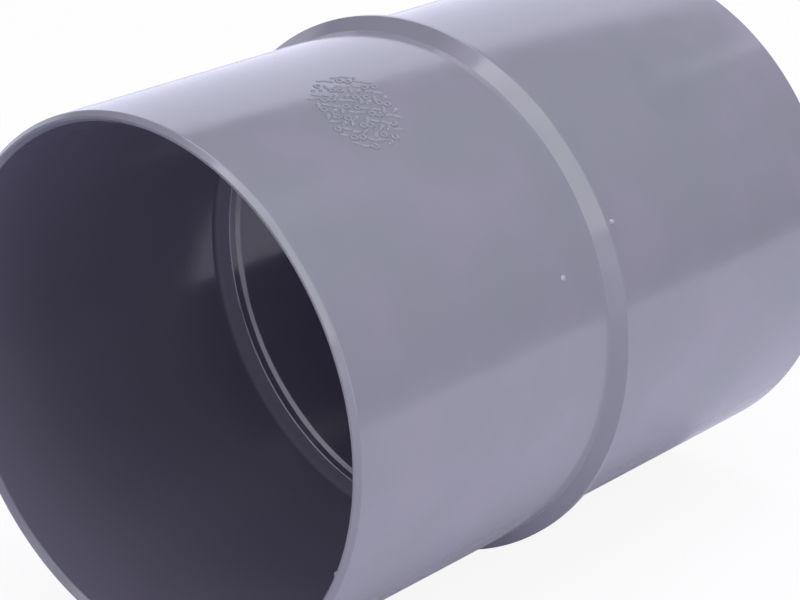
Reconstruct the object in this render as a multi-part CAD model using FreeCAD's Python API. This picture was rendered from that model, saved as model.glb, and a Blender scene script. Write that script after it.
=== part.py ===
import FreeCAD, Part
import math
import os

from FreeCAD import Vector

# A straight coupling for cemented PVC-U pipe: one injection moulding with a plain socket at
# each end. Millimetres, +Z up. The axis lies along Y through the origin, which is halfway
# between the two rims. The front socket opens towards -Y and the rear one towards +Y.

# The pipe, and the room between it and a socket's bore, which its cement fills.
PIPE_DIAMETER = 110.0
SOCKET_CLEARANCE = 0.2

# The wall, from the bore to the outside. The rear socket's is a little thicker.
FRONT_WALL = 2.3
REAR_WALL = 2.65

# Along the axis. A socket's depth runs from its rim to where the stop starts to rise.
FRONT_SOCKET_DEPTH = 76.9
REAR_SOCKET_DEPTH = 75.2

# The stop is a low band inside that the two pipes butt against. Its front ramp is longer
# and gentler than its rear one.
STOP_HEIGHT = 1.0
STOP_FRONT_RAMP = 4.0
STOP_LAND = 1.7
STOP_REAR_RAMP = 2.6

# The ridge round the outside, halfway along, is where the two halves of the wall meet.
RIDGE_HEIGHT = 2.75
RIDGE_CREST_WIDTH = 1.2
RIDGE_FLANK_WIDTH = 2.5
RIDGE_CREST_ROUNDING = 0.4
RIDGE_FOOT_ROUNDING = 2.5

# The rims: a rounded outer edge, a flat face, and a lead-in that guides the pipe.
RIM_EDGE_ROUNDING = 0.7
LEAD_IN_WIDTH = 0.85
LEAD_IN_DEPTH = 1.3

AXIS = Vector(0, 1, 0)
CENTRE = Vector(0, 0, 0)


def corner(radius, along, rounding=0.0):
    """One corner of the wall's section: its distance from the axis, its place along the
    axis, and the radius that rounds it."""
    return Vector(radius, along, 0), rounding


def rounded_section(corners):
    """A closed face through the corners, with a tangent arc at each rounded one."""
    entries = []
    for index, (point, rounding) in enumerate(corners):
        before = (corners[index - 1][0] - point).normalize()
        after = (corners[(index + 1) % len(corners)][0] - point).normalize()
        half_angle = before.getAngle(after) / 2
        reach = rounding / math.tan(half_angle)
        middle = (before + after).normalize()
        dip = rounding / math.sin(half_angle) - rounding
        entries.append((point + before * reach, point + middle * dip, point + after * reach))
    edges = []
    for index, (start, middle, end) in enumerate(entries):
        if corners[index][1] > 0:
            edges.append(Part.Arc(start, middle, end).toShape())
        next_start = entries[(index + 1) % len(entries)][0]
        edges.append(Part.LineSegment(end, next_start).toShape())
    return Part.Face(Part.Wire(edges))


def rim(bore_radius, wall, end, inward):
    """The corners of one rim, from the outside in. end is the rim's place along the axis,
    and inward is +1 or -1, the way from the rim to the middle of the coupling."""
    return [
        corner(bore_radius + wall, end, RIM_EDGE_ROUNDING),
        corner(bore_radius + LEAD_IN_WIDTH, end),
        corner(bore_radius, end + inward * LEAD_IN_DEPTH),
    ]


def coupling_body():
    """The whole moulding, as one section of its wall turned about the axis."""
    bore_radius = PIPE_DIAMETER / 2 + SOCKET_CLEARANCE
    stop_radius = bore_radius - STOP_HEIGHT
    stop_length = STOP_FRONT_RAMP + STOP_LAND + STOP_REAR_RAMP
    half_length = (FRONT_SOCKET_DEPTH + stop_length + REAR_SOCKET_DEPTH) / 2
    stop_start = FRONT_SOCKET_DEPTH - half_length
    land_start = stop_start + STOP_FRONT_RAMP
    land_end = land_start + STOP_LAND
    stop_end = land_end + STOP_REAR_RAMP

    front_radius = bore_radius + FRONT_WALL
    rear_radius = bore_radius + REAR_WALL
    crest_radius = front_radius + RIDGE_HEIGHT
    crest_half = RIDGE_CREST_WIDTH / 2
    ridge_half = crest_half + RIDGE_FLANK_WIDTH

    section = rim(bore_radius, FRONT_WALL, -half_length, 1)
    section += [
        corner(bore_radius, stop_start),
        corner(stop_radius, land_start),
        corner(stop_radius, land_end),
        corner(bore_radius, stop_end),
    ]
    section += reversed(rim(bore_radius, REAR_WALL, half_length, -1))
    section += [
        corner(rear_radius, ridge_half, RIDGE_FOOT_ROUNDING),
        corner(crest_radius, crest_half, RIDGE_CREST_ROUNDING),
        corner(crest_radius, -crest_half, RIDGE_CREST_ROUNDING),
        corner(front_radius, -ridge_half, RIDGE_FOOT_ROUNDING),
    ]
    return rounded_section(section).revolve(CENTRE, AXIS, 360)


os.makedirs("parts", exist_ok=True)
body = coupling_body()
body.exportStep("parts/coupling_body.step")
print("volume mm3", round(body.Volume, 1), "valid", body.isValid(), "length", body.BoundBox.YLength)
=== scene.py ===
import math

import bpy
import numpy as np
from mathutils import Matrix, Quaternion, Vector


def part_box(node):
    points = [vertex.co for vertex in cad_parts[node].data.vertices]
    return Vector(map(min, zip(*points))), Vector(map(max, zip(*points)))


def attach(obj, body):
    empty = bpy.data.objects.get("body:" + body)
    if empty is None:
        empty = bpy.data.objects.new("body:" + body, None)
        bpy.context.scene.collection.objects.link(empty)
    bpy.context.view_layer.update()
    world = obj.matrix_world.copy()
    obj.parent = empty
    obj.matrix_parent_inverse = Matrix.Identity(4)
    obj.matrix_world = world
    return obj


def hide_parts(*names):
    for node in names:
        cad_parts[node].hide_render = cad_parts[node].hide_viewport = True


# A straight pipe coupling of grey PVC-U, one injection moulding, lying on a pale table in a
# small studio. Metres in the scene; the sizes below are in millimetres. The pipe axis is Y, the
# front socket opens towards -Y, and angles round the barrel start at +Z and grow towards +X.

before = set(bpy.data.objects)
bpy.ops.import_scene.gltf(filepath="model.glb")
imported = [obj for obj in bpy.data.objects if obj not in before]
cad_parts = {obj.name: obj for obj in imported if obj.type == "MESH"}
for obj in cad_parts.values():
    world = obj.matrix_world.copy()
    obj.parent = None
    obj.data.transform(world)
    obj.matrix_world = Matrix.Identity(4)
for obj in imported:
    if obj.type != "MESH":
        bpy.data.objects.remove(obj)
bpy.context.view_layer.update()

MM = 0.001
CAD_LOW, CAD_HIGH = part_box("coupling_body")
HALF_LENGTH = CAD_HIGH.y / MM

# The wall, as radii from the pipe axis.
BORE_RADIUS = 55.2
STOP_RADIUS = 54.2
FRONT_RADIUS = 57.5
REAR_RADIUS = 57.85
CREST_RADIUS = 60.25

# The rims: a lead-in that guides the pipe, and at the front a flat ring and a bevel outside it.
LEAD_IN_WIDTH = 0.85
LEAD_IN_DEPTH = 1.3
LEAD_IN_RADIUS = BORE_RADIUS + LEAD_IN_WIDTH
RIM_FLAT = 0.45
FRONT_BEVEL = 1.02

# The stop inside, by its places along the axis. The land is stepped back a little from the top
# of the front ramp, as where a mould's two cores meet, and the rear ramp is trimmed a little
# short of the stop's end.
STOP_START = 76.9 - HALF_LENGTH
LAND_START = STOP_START + 4.0
LAND_END = LAND_START + 1.7
STOP_END = LAND_END + 2.6
CORE_STEP, CORE_STEP_LENGTH = 0.2, 0.6
REAR_RAMP_TRIM = 0.3

# The ridge outside, half way along.
CREST_HALF = 0.6
RIDGE_HALF = CREST_HALF + 2.5

# The wall's section: radius, place along the axis, rounding. In through the front mouth and
# back over the outside.
SECTION = [
    (FRONT_RADIUS, FRONT_BEVEL - HALF_LENGTH, 0.5),
    (LEAD_IN_RADIUS + RIM_FLAT, -HALF_LENGTH, 0.12),
    (LEAD_IN_RADIUS, -HALF_LENGTH, 0.1),
    (BORE_RADIUS, LEAD_IN_DEPTH - HALF_LENGTH, 0.5),
    (BORE_RADIUS, STOP_START, 8.0),
    (STOP_RADIUS, LAND_START - CORE_STEP_LENGTH, 0.05),
    (STOP_RADIUS + CORE_STEP, LAND_START, 0.05),
    (STOP_RADIUS + CORE_STEP, LAND_END, 0.4),
    (BORE_RADIUS, STOP_END - REAR_RAMP_TRIM, 2.0),
    (BORE_RADIUS, HALF_LENGTH - LEAD_IN_DEPTH, 0.5),
    (LEAD_IN_RADIUS, HALF_LENGTH, 0.15),
    (REAR_RADIUS, HALF_LENGTH, 0.7),
    (REAR_RADIUS, RIDGE_HALF, 0.6),
    (CREST_RADIUS, CREST_HALF, 0.15),
    (CREST_RADIUS, -CREST_HALF, 0.3),
    (FRONT_RADIUS, -RIDGE_HALF, 0.12),
]

# A section's mesh: the angle between an arc's points, how near each end of a straight run a
# point stands, the longest gap along a run, and the columns round the axis.
ARC_STEP = math.radians(9)
SUPPORT = 0.12
LONGEST_ROW = 9.0
COLUMNS = 400

# A burr on the front rim's inner edge: its place, how far it stands inwards, and its widths
# along the section and round the rim. Closer columns reach this many widths to each side of
# it, and the even ones stop a little further out.
BURR_ANGLE = math.radians(113)
BURR_HEIGHT = 0.5
BURR_DEPTH = 0.35
BURR_WIDTH = 0.35
BURR_WIDTHS = 2.6
BURR_COLUMNS = 9
BURR_MARGIN = 1.1

# A patch of moulded marks on the front barrel: its middle, its half sizes along the axis and
# round the barrel, the pitch of its rows and places, how far each row leans, and how far each
# mark stands off its row.
PATCH_ALONG, PATCH_ANGLE = -38.6, math.radians(20.5)
PATCH_HALF_LENGTH, PATCH_HALF_WIDTH, PATCH_PITCH = 9.6, 11.6, 2.0
PATCH_SKEW = -0.3
MARK_DRIFT = 0.3

# The marks: a ring's radius, half thickness and height; a bar's half length, half width and
# height; and a bar's slant and how much that varies, in degrees.
RING_MARK = (0.66, 0.32, 0.24)
BAR_MARK = (1.15, 0.48, 0.24)
BAR_SLANT, BAR_SLANT_DRIFT = 38, 15
PAD_RINGS, RELIEF_TURNS = 7, 16

# Nicks whose plastic stands up: place along the axis, angle in degrees, half length, half
# width and height.
WHITENED_NIBS = [(-15.0, 69.9, 0.75, 0.6, 0.25), (3.9, 63.2, 0.9, 0.6, 0.8)]


# ---------------------------------------------------------------- meshes

def add_mesh(name, points, faces, material, slot="grey_pvc"):
    """A smooth-shaded piece from an array of points in mm and a list of faces. A piece with no
    slot belongs to the studio."""
    mesh = bpy.data.meshes.new(name)
    mesh.from_pydata((points.reshape(-1, 3) * MM).tolist(), [], faces)
    mesh.polygons.foreach_set("use_smooth", np.ones(len(mesh.polygons), bool))
    mesh.materials.append(material)
    mesh.update()
    piece = bpy.data.objects.new(name, mesh)
    bpy.context.scene.collection.objects.link(piece)
    if slot:
        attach(piece, "root")
    return piece


def grid_quads(rows, columns, closed_rows=True, closed_columns=True):
    """Quads over a rows x columns grid of points, numbered row by row. A closed direction
    joins its last line back to its first."""
    row = np.arange(rows if closed_rows else rows - 1)[:, None]
    column = np.arange(columns if closed_columns else columns - 1)[None, :]
    next_row, next_column = (row + 1) % rows, (column + 1) % columns
    corners = [row * columns + column, next_row * columns + column,
               next_row * columns + next_column, row * columns + next_column]
    return np.stack(np.broadcast_arrays(*corners), -1).reshape(-1, 4)


def rounded_profile(corners):
    """A closed line of (radius, along) points through the corners, each given as (radius,
    along, rounding). A rounded corner becomes its tangent arc: points at the centre plus the
    rounding times (cos, sin) of angles spread evenly between the two tangent points. Straight
    runs get a point close to each end, which keeps their shading flat, and more between where
    they are long."""
    points = np.array([corner[:2] for corner in corners])
    before = np.roll(points, 1, 0) - points
    after = np.roll(points, -1, 0) - points
    before /= np.linalg.norm(before, axis=1)[:, None]
    after /= np.linalg.norm(after, axis=1)[:, None]
    arcs = []
    for (_, _, rounding), point, u, v in zip(corners, points, before, after):
        half = math.acos(np.clip(u @ v, -1, 1)) / 2
        centre = point + (u + v) / np.linalg.norm(u + v) * rounding / math.sin(half)
        start, end = (point + w * rounding / math.tan(half) - centre for w in (u, v))
        first = math.atan2(start[1], start[0])
        turn = (math.atan2(end[1], end[0]) - first + math.pi) % (2 * math.pi) - math.pi
        angles = first + turn * np.linspace(0, 1, max(3, math.ceil(abs(turn) / ARC_STEP) + 1))
        arcs.append(centre + rounding * np.stack([np.cos(angles), np.sin(angles)], -1))
    line = []
    for arc, following in zip(arcs, arcs[1:] + arcs[:1]):
        start, end = arc[-1], following[0]
        run = np.linalg.norm(end - start)
        line.append(arc)
        if run > 3 * SUPPORT:
            rows = max(2, math.ceil((run - 2 * SUPPORT) / LONGEST_ROW) + 1)
            inner = np.linspace(SUPPORT, run - SUPPORT, rows)
            line.append(start + (end - start) * (inner / run)[:, None])
    return np.concatenate(line)


def turned(radius, along, angle):
    """Points at a radius and an angle about the pipe axis: (r sin a, y, r cos a)."""
    radius, along, angle = np.broadcast_arrays(radius, along, angle)
    return np.stack([radius * np.sin(angle), along, radius * np.cos(angle)], -1)


def bell(distance, width):
    """A smooth bump, 1 at its middle and about 0.6 at one width: exp(-d^2 / 2 w^2)."""
    return np.exp(-0.5 * (distance / width) ** 2)


# ---------------------------------------------------------------- materials

def linear(hex_colour):
    """An sRGB colour such as "#888798" as linear red, green, blue and alpha."""
    values = np.array([int(hex_colour[i:i + 2], 16) for i in (1, 3, 5)]) / 255
    lit = np.where(values <= 0.04045, values / 12.92, ((values + 0.055) / 1.055) ** 2.4)
    return (*lit.tolist(), 1.0)


def add_node(tree, kind, inputs=None, **settings):
    """Adds one node. settings are its properties. inputs maps a socket's name or number to a
    value, or to the output socket that feeds it."""
    node = tree.nodes.new(kind)
    for name, value in settings.items():
        setattr(node, name, value)
    for socket, value in (inputs or {}).items():
        if isinstance(value, bpy.types.NodeSocket):
            tree.links.new(value, node.inputs[socket])
        else:
            node.inputs[socket].default_value = value
    return node


def new_material(name):
    """An empty material and its node tree."""
    material = bpy.data.materials.new(name)
    material.use_nodes = True
    material.node_tree.nodes.clear()
    return material, material.node_tree


# How strongly light bends in unplasticised PVC, which sets how much its gloss reflects.
PVC_IOR = 1.54


def moulded_pvc():
    """Grey PVC-U, injection moulded in a polished mould: an even, slightly violet grey with a
    smooth semi-gloss skin. Cooling in the mould and handling leave it faintly mottled, with
    soft rub marks that only change how sharp its reflections are."""
    material, tree = new_material("moulded_grey_pvc_u")
    place = add_node(tree, "ShaderNodeTexCoord").outputs["Object"]

    # Pigment streaks, about 25 mm across and very faint.
    streaks = add_node(tree, "ShaderNodeTexNoise",
                       {"Vector": place, "Scale": 1 / (25 * MM), "Detail": 3.0,
                        "Roughness": 0.5})
    shade = add_node(tree, "ShaderNodeValToRGB", {"Fac": streaks.outputs["Fac"]})
    shade.color_ramp.elements[0].position = 0.3
    shade.color_ramp.elements[0].color = linear("#82848f")
    shade.color_ramp.elements[1].position = 0.7
    shade.color_ramp.elements[1].color = linear("#8a8795")

    # The bore is painted a little darker than the outside: painted shade inside the socket. The
    # change falls on the lead-in, by the distance from the pipe axis.
    across = add_node(tree, "ShaderNodeVectorMath", {0: place, 1: (1.0, 0.0, 1.0)},
                      operation="MULTIPLY")
    from_axis = add_node(tree, "ShaderNodeVectorMath", {0: across.outputs[0]},
                         operation="LENGTH")
    outside = add_node(tree, "ShaderNodeMapRange",
                       {"Value": from_axis.outputs["Value"],
                        "From Min": (BORE_RADIUS + 0.02) * MM,
                        "From Max": (BORE_RADIUS + 0.2) * MM})

    # The stop's front ramp is painted paler than the rest of the bore, as painted light where it
    # faces the front mouth. It pales where the ramp starts to rise, and ends at the top of the
    # ramp.
    along = add_node(tree, "ShaderNodeSeparateXYZ", {0: place}).outputs["Y"]
    before_land = add_node(tree, "ShaderNodeMath",
                           {0: along, 1: (LAND_START - CORE_STEP_LENGTH) * MM},
                           operation="LESS_THAN")
    painted_ramp_light = add_node(tree, "ShaderNodeMapRange",
                       {"Value": along, "From Min": (STOP_START - 0.8) * MM,
                        "From Max": (STOP_START + 0.4) * MM,
                        "To Max": before_land.outputs[0]}, interpolation_type="SMOOTHSTEP")
    # Painted shade over the bore, and painted light on the stop's front ramp.
    inside = add_node(tree, "ShaderNodeMix",
                      {"Factor": painted_ramp_light.outputs[0], 6: linear("#6b6778"),
                       7: linear("#8e899a")}, data_type="RGBA")
    tone = add_node(tree, "ShaderNodeMix",
                    {"Factor": outside.outputs[0], 6: inside.outputs[2],
                     7: shade.outputs["Color"]}, data_type="RGBA")

    # Rub marks, about 6 mm across.
    rubs = add_node(tree, "ShaderNodeTexNoise",
                    {"Vector": place, "Scale": 1 / (6.25 * MM), "Detail": 4.0,
                     "Roughness": 0.6})
    gloss = add_node(tree, "ShaderNodeMapRange",
                     {"Value": rubs.outputs["Fac"], "From Min": 0.35, "From Max": 0.75,
                      "To Min": 0.11, "To Max": 0.17})

    # The mould's own surface: waves about 12 mm long and 0.02 mm deep, and a fine grain, 1.3
    # to the millimetre.
    waves = add_node(tree, "ShaderNodeTexNoise",
                     {"Vector": place, "Scale": 1 / (12.5 * MM), "Detail": 1.0,
                      "Roughness": 0.4})
    grain = add_node(tree, "ShaderNodeTexNoise",
                     {"Vector": place, "Scale": 1.3 / MM, "Detail": 2.0, "Roughness": 0.5})
    soft_waves = add_node(tree, "ShaderNodeBump",
                          {"Height": waves.outputs["Fac"], "Strength": 1.0,
                           "Distance": 0.02 * MM})
    fine_grain = add_node(tree, "ShaderNodeBump",
                          {"Height": grain.outputs["Fac"], "Strength": 1.0,
                           "Distance": 0.002 * MM, "Normal": soft_waves.outputs["Normal"]})

    skin = add_node(tree, "ShaderNodeBsdfPrincipled",
                    {"Base Color": tone.outputs[2], "Roughness": gloss.outputs[0],
                     "IOR": PVC_IOR, "Normal": fine_grain.outputs["Normal"]})
    add_node(tree, "ShaderNodeOutputMaterial", {"Surface": skin.outputs[0]})
    return material


def whitened_pvc():
    """PVC-U turns pale and loses its gloss where it has been nicked."""
    material, tree = new_material("stress_whitened_pvc_u")
    skin = add_node(tree, "ShaderNodeBsdfPrincipled",
                    {"Base Color": linear("#a3a3ae"), "Roughness": 0.45, "IOR": PVC_IOR})
    add_node(tree, "ShaderNodeOutputMaterial", {"Surface": skin.outputs[0]})
    return material


# ---------------------------------------------------------------- the moulding

def moulding(material):
    """The whole wall: its section carried once round the axis, (r(u) sin v, y(u), r(u) cos v).
    At one place a burr stands inwards from the front rim's inner edge, as the product of a
    bell along the section and one round the rim, where the columns are closer together."""
    line = rounded_profile(SECTION)
    radius, along = line[:, :1], line[:, 1:]
    reach = BURR_WIDTHS * BURR_WIDTH / LEAD_IN_RADIUS
    even = np.linspace(0, 2 * math.pi, COLUMNS, endpoint=False)
    even = even[abs(even - BURR_ANGLE) > BURR_MARGIN * reach]
    close = np.linspace(BURR_ANGLE - reach, BURR_ANGLE + reach, BURR_COLUMNS)
    angle = np.sort(np.concatenate([even, close]))[None, :]
    off_edge = np.hypot(radius - LEAD_IN_RADIUS, along + HALF_LENGTH)
    round_rim = (angle - BURR_ANGLE) * LEAD_IN_RADIUS
    burr = BURR_HEIGHT * bell(off_edge, BURR_DEPTH) * bell(round_rim, BURR_WIDTH)
    points = turned(radius - burr, along, angle)
    return add_mesh("coupling_moulding", points, grid_quads(*points.shape[:2]).tolist(),
                    material)


# ---------------------------------------------------------------- small relief

def on_front_barrel(x, y, z, along, angle, tilt):
    """Wraps a small shape round the front barrel: x along the pipe axis, y round it and z
    outwards, once x and y are turned by the tilt."""
    turned_x = x * math.cos(tilt) - y * math.sin(tilt)
    turned_y = x * math.sin(tilt) + y * math.cos(tilt)
    return turned(FRONT_RADIUS + z, along + turned_x, angle + turned_y / FRONT_RADIUS)


def pad(along, angle, tilt, half_length, half_width, height):
    """A low pad, half sunk in the wall: (a cos v cos u, b cos v sin u, h sin v). Triangles
    close it at its two poles."""
    v = np.linspace(-math.pi / 2, math.pi / 2, PAD_RINGS + 2)[1:-1, None]
    u = np.linspace(0, 2 * math.pi, RELIEF_TURNS, endpoint=False)[None, :]
    x, y, z = np.broadcast_arrays(half_length * np.cos(v) * np.cos(u),
                                  half_width * np.cos(v) * np.sin(u), height * np.sin(v))
    rings = on_front_barrel(x, y, z, along, angle, tilt).reshape(-1, 3)
    poles = on_front_barrel(np.zeros(2), np.zeros(2), np.array([-height, height]),
                            along, angle, tilt)
    bottom = np.arange(RELIEF_TURNS)
    top = bottom + (PAD_RINGS - 1) * RELIEF_TURNS
    low, high = np.full_like(bottom, len(rings)), np.full_like(top, len(rings) + 1)
    faces = [grid_quads(PAD_RINGS, RELIEF_TURNS, closed_rows=False),
             np.stack([low, bottom, np.roll(bottom, -1)], -1),
             np.stack([high, np.roll(top, -1), top], -1)]
    return np.concatenate([rings, poles]), faces


def ringlet(along, angle, radius, tube, height):
    """A low ring, half sunk in the wall: ((R + r cos v) cos u, (R + r cos v) sin u, h sin v)."""
    v = np.linspace(0, 2 * math.pi, PAD_RINGS + 1, endpoint=False)[:, None]
    u = np.linspace(0, 2 * math.pi, RELIEF_TURNS, endpoint=False)[None, :]
    reach = radius + tube * np.cos(v)
    points = on_front_barrel(reach * np.cos(u), reach * np.sin(u), height * np.sin(v),
                             along, angle, 0.0)
    return points.reshape(-1, 3), [grid_quads(PAD_RINGS + 1, RELIEF_TURNS)]


def join(shapes):
    """Several shapes, each its points and arrays of its faces, as one array of points and one
    list of faces. Each shape's faces count on from the points before it."""
    starts = np.cumsum([0] + [len(points) for points, _ in shapes])
    faces = [face for start, (_, arrays) in zip(starts, shapes) for array in arrays
             for face in (array + start).tolist()]
    return np.concatenate([points for points, _ in shapes]), faces


def moulded_marks(material):
    """A plain patch of relief on the front barrel: short bars that slant one way and then the
    other, with a small ring at every third place, in staggered rows inside a skewed oval.
    Each stands a little off its row, by its drift x (sin, cos) of its row and place."""
    shapes = []
    steps = math.ceil(PATCH_HALF_WIDTH / PATCH_PITCH)
    for row in range(-steps, steps + 1):
        for place in range(-steps, steps + 1):
            x = row * PATCH_PITCH
            y = (place + 0.5 * (row % 2)) * PATCH_PITCH
            if math.hypot(x / PATCH_HALF_LENGTH, y / PATCH_HALF_WIDTH) > 1:
                continue
            phase = 5 * row + 3 * place
            spot = (PATCH_ALONG + x + PATCH_SKEW * y + MARK_DRIFT * math.sin(phase),
                    PATCH_ANGLE + (y + MARK_DRIFT * math.cos(phase)) / FRONT_RADIUS)
            if (row + 2 * place) % 3 == 0:
                shapes.append(ringlet(*spot, *RING_MARK))
            else:
                side = 1 if (row + place) % 2 else -1
                slant = side * BAR_SLANT + BAR_SLANT_DRIFT * math.sin(2 * phase)
                shapes.append(pad(*spot, math.radians(slant), *BAR_MARK))
    add_mesh("moulded_marks", *join(shapes), material)


def whitened_nibs(material):
    """Specks of plastic that stand out of the skin, as low pads in line with the pipe axis."""
    pads = [pad(along, math.radians(angle), 0.0, half_length, half_width, height)
            for along, angle, half_length, half_width, height in WHITENED_NIBS]
    add_mesh("whitened_nibs", *join(pads), material)


pvc = moulded_pvc()
moulding_piece = moulding(pvc)
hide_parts("coupling_body")
moulded_marks(pvc)
whitened_nibs(whitened_pvc())


# ---------------------------------------------------------------- table and studio

# The table's edges, the gap that keeps it clear of the ridge, and its rows and columns.
TABLE_LEFT, TABLE_RIGHT, TABLE_FRONT, TABLE_BACK = -600.0, 300.0, -300.0, 750.0
TABLE_GAP = 0.06
TABLE_ROWS, TABLE_COLUMNS = 16, 23

ROOM_RADIUS = 3000.0
ROOM_ROWS, ROOM_COLUMNS = 25, 48

# The dim studio round the table, painted on a sphere in this order: middle azimuth (from +Y
# towards +X), half width, lowest and highest elevation and edge softness, in degrees, and
# the brightness, where 1 is white.
ROOM_LEVEL = 0.03
ROOM_PANELS = [
    ("left wall", -119, 28, -20, 55, 10, 0.35),
    ("floor past the table", 88, 76, -91, -9, 6, 0.75),
    ("right wall in front", 134, 13, -36, 12, 10, 1.4),
    ("ceiling", 88, 80, 48, 91, 6, 0.85),
    ("ceiling at the left", -90, 98, 55, 91, 8, 0.4),
    ("wall beside the strip lights", -160, 14, 38, 68, 12, 1.7),
    ("white backdrop", -40.5, 52.5, -20, 35.4, 1.5, 1.52),
]
BACKDROP_COLOUR = "#ebebff"

# Softboxes: azimuth and elevation in degrees, distance, width and height in mm, how far the
# box is turned about its own axis in degrees, and the brightness.
SOFTBOXES = [
    ("right_softbox", 82.5, 21, 2000, 1650, 2000, 0, 2.2),
    ("overhead_softbox", 90, 89, 1500, 1400, 1400, 0, 2.15),
    ("front_strip_light_high", 174, 53.5, 2000, 1000, 330, -21, 3.6),
    ("front_strip_light_low", 144, 31, 2000, 1220, 330, -61, 3.3),
    ("front_strip_light_end", 137, 11, 2000, 460, 330, -70, 0.9),
]


def studio_walls():
    """Painted walls and a white backdrop. Each panel's mask is a soft step on either side of
    its middle azimuth times a soft step at its lowest and highest elevation."""
    material, tree = new_material("studio_walls")
    place = add_node(tree, "ShaderNodeTexCoord").outputs["Object"]
    direction = add_node(tree, "ShaderNodeVectorMath", {0: place}, operation="NORMALIZE")
    x, y, z = add_node(tree, "ShaderNodeSeparateXYZ", {0: direction.outputs[0]}).outputs
    azimuth = add_node(tree, "ShaderNodeMath", {0: x, 1: y}, operation="ARCTAN2").outputs[0]
    elevation = add_node(tree, "ShaderNodeMath", {0: z}, operation="ARCSINE").outputs[0]
    level = ROOM_LEVEL
    for name, middle, half_width, lowest, highest, softness, brightness in ROOM_PANELS:
        sideways = add_node(tree, "ShaderNodeMath", {0: azimuth, 1: math.radians(middle)},
                            operation="SUBTRACT")
        wrapped = add_node(tree, "ShaderNodeMath",
                           {0: sideways.outputs[0], 1: math.pi, 2: -math.pi},
                           operation="WRAP")
        off_middle = add_node(tree, "ShaderNodeMath", {0: wrapped.outputs[0]},
                              operation="ABSOLUTE").outputs[0]
        mask = 1.0
        for value, edge, below, above in ((elevation, lowest, 0.0, 1.0),
                                          (elevation, highest, 1.0, 0.0),
                                          (off_middle, half_width, 1.0, 0.0)):
            step = add_node(tree, "ShaderNodeMapRange",
                            {"Value": value, "From Min": math.radians(edge - softness),
                             "From Max": math.radians(edge + softness),
                             "To Min": below, "To Max": above},
                            interpolation_type="SMOOTHSTEP")
            mask = add_node(tree, "ShaderNodeMath", {0: step.outputs[0], 1: mask},
                            operation="MULTIPLY").outputs[0]
        level = add_node(tree, "ShaderNodeMix", {0: mask, 2: level, 3: brightness},
                         label=name).outputs[0]
    glow = add_node(tree, "ShaderNodeEmission",
                    {"Color": linear(BACKDROP_COLOUR), "Strength": level})
    add_node(tree, "ShaderNodeOutputMaterial", {"Surface": glow.outputs[0]})
    return material


def table_top():
    """White laminate. The camera sees it mostly as plain white, with the object's shadow."""
    material, tree = new_material("white_laminate")
    camera_ray = add_node(tree, "ShaderNodeLightPath").outputs["Is Camera Ray"]
    share = add_node(tree, "ShaderNodeMath", {0: camera_ray, 1: 0.9}, operation="MULTIPLY")
    board = add_node(tree, "ShaderNodeBsdfDiffuse", {"Color": linear("#efedf9")})
    white = add_node(tree, "ShaderNodeEmission", {"Strength": 1.0})
    mixed = add_node(tree, "ShaderNodeMixShader",
                     {0: share.outputs[0], 1: board.outputs[0], 2: white.outputs[0]})
    add_node(tree, "ShaderNodeOutputMaterial", {"Surface": mixed.outputs[0]})
    return material


def room(material):
    """A sphere round the table, seen only in reflections: (R sin a cos e, R cos a cos e,
    R sin e) over azimuth a and elevation e, with its faces turned inwards."""
    elevation = np.linspace(-math.pi / 2, math.pi / 2, ROOM_ROWS)[:, None]
    azimuth = np.linspace(0, 2 * math.pi, ROOM_COLUMNS, endpoint=False)[None, :]
    points = ROOM_RADIUS * np.stack(np.broadcast_arrays(
        np.sin(azimuth) * np.cos(elevation), np.cos(azimuth) * np.cos(elevation),
        np.sin(elevation)), -1)
    quads = grid_quads(ROOM_ROWS, ROOM_COLUMNS, closed_rows=False)
    piece = add_mesh("studio_room", points, quads.tolist(), material, slot=None)
    piece.visible_camera = False


def table(material):
    """A flat board under the ridge: a grid of (x, y) between its edges at one height."""
    x, y, z = np.broadcast_arrays(
        np.linspace(TABLE_LEFT, TABLE_RIGHT, TABLE_COLUMNS)[None, :],
        np.linspace(TABLE_FRONT, TABLE_BACK, TABLE_ROWS)[:, None], CAD_LOW.z / MM - TABLE_GAP)
    quads = grid_quads(TABLE_ROWS, TABLE_COLUMNS, closed_rows=False, closed_columns=False)
    piece = add_mesh("table", np.stack([x, y, z], -1), quads.tolist(), material, slot=None)


def softbox(name, azimuth, elevation, distance, width, height, turn, brightness):
    """A lit white panel that faces the object. Its power is brightness x pi x its area."""
    a, e = math.radians(azimuth), math.radians(elevation)
    back = np.array([math.sin(a) * math.cos(e), math.cos(a) * math.cos(e), math.sin(e)])
    lamp = bpy.data.lights.new(name, "AREA")
    lamp.shape = "RECTANGLE"
    lamp.size, lamp.size_y = width * MM, height * MM
    lamp.energy = brightness * math.pi * lamp.size * lamp.size_y
    holder = bpy.data.objects.new(name, lamp)
    holder.location = back * distance * MM
    facing = Vector(back).to_track_quat("Z", "Y")
    holder.rotation_euler = (facing @ Quaternion((0, 0, 1), math.radians(turn))).to_euler()
    holder.visible_camera = False
    bpy.context.scene.collection.objects.link(holder)


room(studio_walls())
table(table_top())
for box in SOFTBOXES:
    softbox(*box)

scene = bpy.context.scene
scene.view_settings.view_transform = "Standard"
world = bpy.data.worlds.new("white_surroundings")
world.use_nodes = True
world.node_tree.nodes["Background"].inputs["Color"].default_value = (1, 1, 1, 1)
world.node_tree.nodes["Background"].inputs["Strength"].default_value = 1.0
scene.world = world


# ---------------------------------------------------------------- camera

# A long lens, from above and to the right of the front socket.
camera_data = bpy.data.cameras.new("camera")
camera_data.lens = 119.64
camera_data.sensor_width = 36
camera_data.clip_start = 0.01
camera = bpy.data.objects.new("camera", camera_data)
camera.location = (0.3541, -0.4107, 0.2053)
camera.rotation_euler = (math.radians(68.997), 0, math.radians(40.924))
scene.collection.objects.link(camera)
scene.camera = camera
